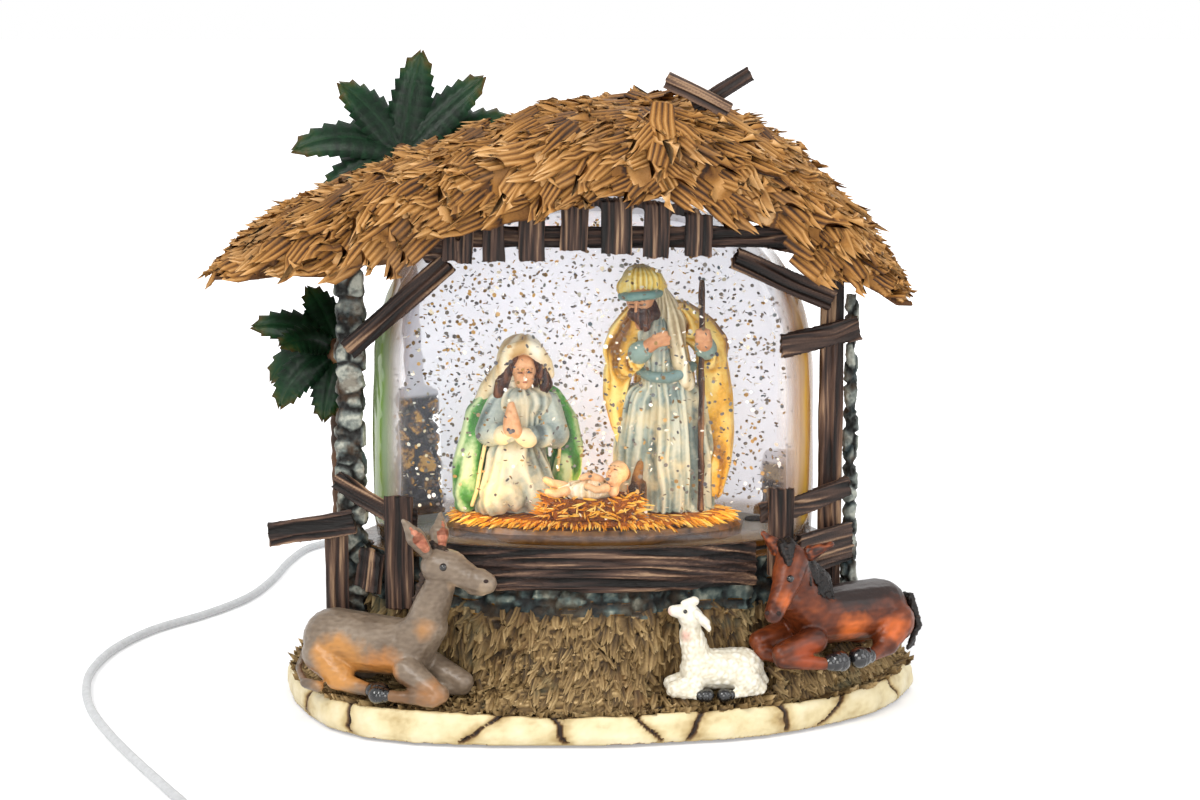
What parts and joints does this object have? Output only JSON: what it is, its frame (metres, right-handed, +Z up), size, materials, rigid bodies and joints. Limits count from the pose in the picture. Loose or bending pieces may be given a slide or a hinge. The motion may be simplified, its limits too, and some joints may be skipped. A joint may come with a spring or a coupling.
{
  "type": "lighted nativity scene",
  "caption": "Cast nativity stable on a rocky base, built round a clear water tank with figures, stirred glitter and a warm light from below.",
  "frame": {"origin": "on the floor, under the middle of the stable's outer box (the free cord left out)", "axes": "+Z up, front of the scene faces -Y, +X to the viewer's right"},
  "size_m": [0.3121, 0.4906, 0.2352],
  "materials": {
    "painted_cast_base": "matt painted resin casting",
    "black_plastic": "fine texture",
    "cell_skin": "shrink-wrapped can",
    "white_plastic": "smooth",
    "pale_cord": "smooth pale vinyl",
    "steel": "plated",
    "magnet": "dark coated",
    "circuit_board": "lacquered board",
    "clear_plug": "clear frosted plastic",
    "black_rubber": "matt",
    "clear_tank": "clear polished plastic",
    "painted_inner_stand": "matt paint",
    "painted_straw": "matt paint",
    "painted_woman": "satin paint",
    "painted_man": "satin paint",
    "painted_staff": "satin paint",
    "painted_manger": "matt paint",
    "painted_infant": "satin paint",
    "painted_stone": "matt painted resin casting",
    "painted_wood": "matt painted resin casting",
    "painted_thatch": "matt painted resin casting",
    "painted_leaf": "glossy paint",
    "painted_donkey": "satin painted resin casting",
    "painted_lamb": "matt painted resin casting",
    "painted_horse": "glossy painted resin casting"
  },
  "bodies": {
    "scene": {"base_casting": "painted_cast_base", "bottom_cover": "black_plastic", "battery_box": "black_plastic", "cell_1": "cell_skin", "cell_2": "cell_skin", "cell_3": "cell_skin", "switch_body": "black_plastic", "inlet_socket": "black_plastic", "cord_plug": "pale_cord", "cord_run": "pale_cord", "cord_coil": "pale_cord", "cord_tie": "black_plastic", "usb_grip": "pale_cord", "usb_shell": "steel", "motor": "steel", "motor_tower": "black_plastic", "led_board": "circuit_board", "tank_plug": "clear_plug", "tank_seal": "black_rubber", "tank_stopper": "black_rubber", "tank_shell": "clear_tank", "inner_stand": "painted_inner_stand", "straw_mat": "painted_straw", "kneeling_woman": "painted_woman", "standing_man": "painted_man", "staff": "painted_staff", "manger": "painted_manger", "infant": "painted_infant", "stone_pillar": "painted_stone", "right_post": "painted_wood", "right_stones": "painted_stone", "rear_stone_stack": "painted_stone", "rear_boulder": "painted_stone", "tie_beam": "painted_wood", "left_brace": "painted_wood", "right_brace": "painted_wood", "cross_plank": "painted_wood", "lath_row": "painted_wood", "thatch_roof": "painted_thatch", "ridge_plank_a": "painted_wood", "ridge_plank_b": "painted_wood", "plank_band": "painted_wood", "palm_tall": "painted_leaf", "palm_side": "painted_leaf", "fence_post_left": "painted_wood", "fence_rail_left": "painted_wood", "fence_plank_left": "painted_wood", "fence_board_left_top": "painted_wood", "fence_board_left_low": "painted_wood", "fence_post_right": "painted_wood", "fence_rail_right": "painted_wood", "fence_boards_right": "painted_wood", "donkey": "painted_donkey", "lamb": "painted_lamb", "horse": "painted_horse"},
    "drive_rotor": {"drive_magnet": "magnet"},
    "impeller_rotor": {"impeller": "white_plastic"},
    "knob": {"switch_knob": "white_plastic"},
    "door": {"battery_door": "black_plastic"}
  },
  "joints": [
    {"name": "drive_spin", "type": "hinge", "parent": "scene", "child": "drive_rotor", "pos_m": [0.0054, -0.0115, 0.037], "axis": [0, 0, 1], "continuous": true},
    {"name": "impeller_spin", "type": "hinge", "parent": "scene", "child": "impeller_rotor", "pos_m": [0.0054, -0.0115, 0.05], "axis": [0, 0, 1], "continuous": true},
    {"name": "switch_slide", "type": "slide", "parent": "scene", "child": "knob", "axis": [1, 0, 0], "range_m": [0, 0.003]},
    {"name": "door_hinge", "type": "hinge", "parent": "scene", "child": "door", "pos_m": [-0.0396, -0.03085, 0.0012], "axis": [1, 0, 0], "range_deg": [-60, 0]}
  ],
  "couplings": [
    {"joint": "impeller_spin", "follows": "drive_spin", "ratio": 1}
  ]
}
